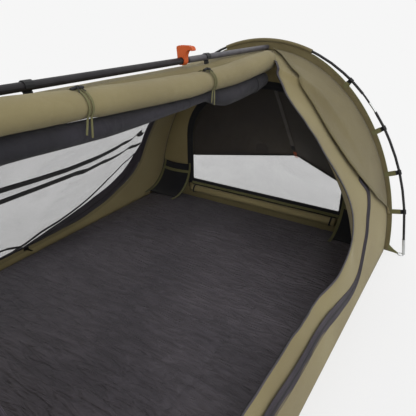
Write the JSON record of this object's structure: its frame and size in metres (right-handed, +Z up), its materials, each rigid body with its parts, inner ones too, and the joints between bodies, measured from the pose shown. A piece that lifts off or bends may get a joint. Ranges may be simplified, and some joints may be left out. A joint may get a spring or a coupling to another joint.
{
  "type": "swag bedroll",
  "caption": "Dome swag: canvas bedroll tub with a mattress under two arched hoops and a ridge tube, one side rolled open, mesh on the other, window and hood at the head.",
  "frame": {"origin": "middle of the tub's underside, on the ground", "axes": "+X to the head end along the ridge, +Y to the far, netted side, +Z up"},
  "size_m": [2.6654, 1.7124, 1.0571],
  "materials": {
    "canvas": "matt olive khaki canvas",
    "tub": "matt coated tub fabric",
    "mattress_cover": "dull charcoal woven cover",
    "net": "fine dark insect net",
    "dark_cloth": "matt black lining cloth",
    "webbing": "ribbed olive webbing",
    "hood_cloth": "olive canvas, dark lining",
    "grey_webbing": "grey webbing",
    "orange_webbing": "orange woven loop",
    "black_tube": "satin black coated alloy tube",
    "black_pole": "satin black coated alloy pole",
    "bare_alloy": "bright drawn alloy",
    "pin_steel": "plated steel",
    "black_plastic": "moulded black plastic",
    "orange_plastic": "moulded orange plastic",
    "zip_metal": "black coated slider"
  },
  "bodies": {
    "shelter": {"tub_floor": "tub", "mattress": "mattress_cover", "near_side_canvas": "canvas", "far_side_canvas": "canvas", "head_wall": "canvas", "foot_wall": "canvas", "window_mesh": "net", "roof_strip": "canvas", "near_door_roll": "canvas", "far_door_roll": "canvas", "near_mesh_roll": "net", "far_mesh_door": "net", "near_roll_tie_head": "webbing", "near_roll_tie_foot": "webbing", "window_sill_roll": "canvas", "near_corner_pocket": "dark_cloth", "far_corner_pocket": "dark_cloth", "head_seam_band": "webbing", "foot_seam_band": "webbing", "window_hood": "hood_cloth", "hood_strap": "grey_webbing", "hood_guy_loop": "orange_webbing", "ridge_tube_foot": "black_tube", "ridge_tube_mid": "black_tube", "ridge_tube_head": "black_tube", "head_hoop_near_pole": "black_pole", "head_hoop_top_pole": "black_pole", "head_hoop_far_pole": "black_pole", "head_hoop_near_tip": "bare_alloy", "head_hoop_far_tip": "bare_alloy", "foot_hoop_near_pole": "black_pole", "foot_hoop_top_pole": "black_pole", "foot_hoop_far_pole": "black_pole", "foot_hoop_near_tip": "bare_alloy", "foot_hoop_far_tip": "bare_alloy"},
    "head_near_clip_1": {"head_near_clip_1": "black_plastic"},
    "head_near_clip_2": {"head_near_clip_2": "black_plastic"},
    "head_near_clip_3": {"head_near_clip_3": "black_plastic"},
    "head_near_clip_4": {"head_near_clip_4": "black_plastic"},
    "head_near_foot_pin": {"head_near_foot_pin": "pin_steel"},
    "head_far_clip_1": {"head_far_clip_1": "black_plastic"},
    "head_far_clip_2": {"head_far_clip_2": "black_plastic"},
    "head_far_clip_3": {"head_far_clip_3": "black_plastic"},
    "head_far_clip_4": {"head_far_clip_4": "black_plastic"},
    "head_far_foot_pin": {"head_far_foot_pin": "pin_steel"},
    "foot_near_clip_1": {"foot_near_clip_1": "black_plastic"},
    "foot_near_clip_2": {"foot_near_clip_2": "black_plastic"},
    "foot_near_clip_3": {"foot_near_clip_3": "black_plastic"},
    "foot_near_clip_4": {"foot_near_clip_4": "black_plastic"},
    "foot_near_foot_pin": {"foot_near_foot_pin": "pin_steel"},
    "foot_far_clip_1": {"foot_far_clip_1": "black_plastic"},
    "foot_far_clip_2": {"foot_far_clip_2": "black_plastic"},
    "foot_far_clip_3": {"foot_far_clip_3": "black_plastic"},
    "foot_far_clip_4": {"foot_far_clip_4": "black_plastic"},
    "foot_far_foot_pin": {"foot_far_foot_pin": "pin_steel"},
    "ridge_clip_head": {"ridge_clip_head": "black_plastic"},
    "ridge_clip_foot": {"ridge_clip_foot": "black_plastic"},
    "ridge_hook_collar": {"ridge_hook_collar": "orange_plastic"},
    "near_zip_slider": {"near_zip_slider": "zip_metal"},
    "far_mesh_slider": {"far_mesh_slider": "zip_metal"}
  },
  "joints": [
    {"name": "head_near_clip_1_turn", "type": "hinge", "parent": "shelter", "child": "head_near_clip_1", "pos_m": [1.0308, -0.45547, 0.86702], "axis": [0, 0.7774, 0.629], "range_deg": [-10, 10]},
    {"name": "head_near_clip_2_turn", "type": "hinge", "parent": "shelter", "child": "head_near_clip_2", "pos_m": [1.0308, -0.64441, 0.65702], "axis": [0, 0.552, 0.8338], "range_deg": [-10, 10]},
    {"name": "head_near_clip_3_turn", "type": "hinge", "parent": "shelter", "child": "head_near_clip_3", "pos_m": [1.0308, -0.75104, 0.45002], "axis": [0, 0.3626, 0.932], "range_deg": [-10, 10]},
    {"name": "head_near_clip_4_turn", "type": "hinge", "parent": "shelter", "child": "head_near_clip_4", "pos_m": [1.0308, -0.80971, 0.24799], "axis": [0, 0.195, 0.9808], "range_deg": [-10, 10]},
    {"name": "head_near_foot_pin_turn", "type": "hinge", "parent": "shelter", "child": "head_near_foot_pin", "pos_m": [1.0308, -0.84913, 0.011], "axis": [0, 0.1668, 0.986], "range_deg": [-20, 20]},
    {"name": "head_far_clip_1_turn", "type": "hinge", "parent": "shelter", "child": "head_far_clip_1", "pos_m": [1.0308, 0.45547, 0.86702], "axis": [0, 0.7774, -0.629], "range_deg": [-10, 10]},
    {"name": "head_far_clip_2_turn", "type": "hinge", "parent": "shelter", "child": "head_far_clip_2", "pos_m": [1.0308, 0.64441, 0.65702], "axis": [0, 0.552, -0.8338], "range_deg": [-10, 10]},
    {"name": "head_far_clip_3_turn", "type": "hinge", "parent": "shelter", "child": "head_far_clip_3", "pos_m": [1.0308, 0.75104, 0.45002], "axis": [0, 0.3626, -0.932], "range_deg": [-10, 10]},
    {"name": "head_far_clip_4_turn", "type": "hinge", "parent": "shelter", "child": "head_far_clip_4", "pos_m": [1.0308, 0.80971, 0.24799], "axis": [0, 0.195, -0.9808], "range_deg": [-10, 10]},
    {"name": "head_far_foot_pin_turn", "type": "hinge", "parent": "shelter", "child": "head_far_foot_pin", "pos_m": [1.0308, 0.84913, 0.011], "axis": [0, 0.1668, -0.986], "range_deg": [-20, 20]},
    {"name": "foot_near_clip_1_turn", "type": "hinge", "parent": "shelter", "child": "foot_near_clip_1", "pos_m": [-1.0308, -0.45547, 0.86702], "axis": [0, 0.7774, 0.629], "range_deg": [-10, 10]},
    {"name": "foot_near_clip_2_turn", "type": "hinge", "parent": "shelter", "child": "foot_near_clip_2", "pos_m": [-1.0308, -0.64441, 0.65702], "axis": [0, 0.552, 0.8338], "range_deg": [-10, 10]},
    {"name": "foot_near_clip_3_turn", "type": "hinge", "parent": "shelter", "child": "foot_near_clip_3", "pos_m": [-1.0308, -0.75104, 0.45002], "axis": [0, 0.3626, 0.932], "range_deg": [-10, 10]},
    {"name": "foot_near_clip_4_turn", "type": "hinge", "parent": "shelter", "child": "foot_near_clip_4", "pos_m": [-1.0308, -0.80971, 0.24799], "axis": [0, 0.195, 0.9808], "range_deg": [-10, 10]},
    {"name": "foot_near_foot_pin_turn", "type": "hinge", "parent": "shelter", "child": "foot_near_foot_pin", "pos_m": [-1.0308, -0.84913, 0.011], "axis": [0, 0.1668, 0.986], "range_deg": [-20, 20]},
    {"name": "foot_far_clip_1_turn", "type": "hinge", "parent": "shelter", "child": "foot_far_clip_1", "pos_m": [-1.0308, 0.45547, 0.86702], "axis": [0, 0.7774, -0.629], "range_deg": [-10, 10]},
    {"name": "foot_far_clip_2_turn", "type": "hinge", "parent": "shelter", "child": "foot_far_clip_2", "pos_m": [-1.0308, 0.64441, 0.65702], "axis": [0, 0.552, -0.8338], "range_deg": [-10, 10]},
    {"name": "foot_far_clip_3_turn", "type": "hinge", "parent": "shelter", "child": "foot_far_clip_3", "pos_m": [-1.0308, 0.75104, 0.45002], "axis": [0, 0.3626, -0.932], "range_deg": [-10, 10]},
    {"name": "foot_far_clip_4_turn", "type": "hinge", "parent": "shelter", "child": "foot_far_clip_4", "pos_m": [-1.0308, 0.80971, 0.24799], "axis": [0, 0.195, -0.9808], "range_deg": [-10, 10]},
    {"name": "foot_far_foot_pin_turn", "type": "hinge", "parent": "shelter", "child": "foot_far_foot_pin", "pos_m": [-1.0308, 0.84913, 0.011], "axis": [0, 0.1668, -0.986], "range_deg": [-20, 20]},
    {"name": "ridge_clip_head_turn", "type": "hinge", "parent": "shelter", "child": "ridge_clip_head", "pos_m": [0.437, 0, 1], "axis": [1, 0, 0], "range_deg": [-8, 8]},
    {"name": "ridge_clip_foot_turn", "type": "hinge", "parent": "shelter", "child": "ridge_clip_foot", "pos_m": [-0.437, 0, 1], "axis": [1, 0, 0], "range_deg": [-8, 8]},
    {"name": "ridge_hook_collar_turn", "type": "hinge", "parent": "shelter", "child": "ridge_hook_collar", "pos_m": [0.268, 0, 1], "axis": [1, 0, 0], "range_deg": [-60, 60]},
    {"name": "near_zip_slider_travel", "type": "slide", "parent": "shelter", "child": "near_zip_slider", "axis": [1, 0, 0], "range_m": [0, 0.85]},
    {"name": "far_mesh_slider_travel", "type": "slide", "parent": "shelter", "child": "far_mesh_slider", "axis": [1, 0, 0], "range_m": [-0.7, 0]}
  ]
}
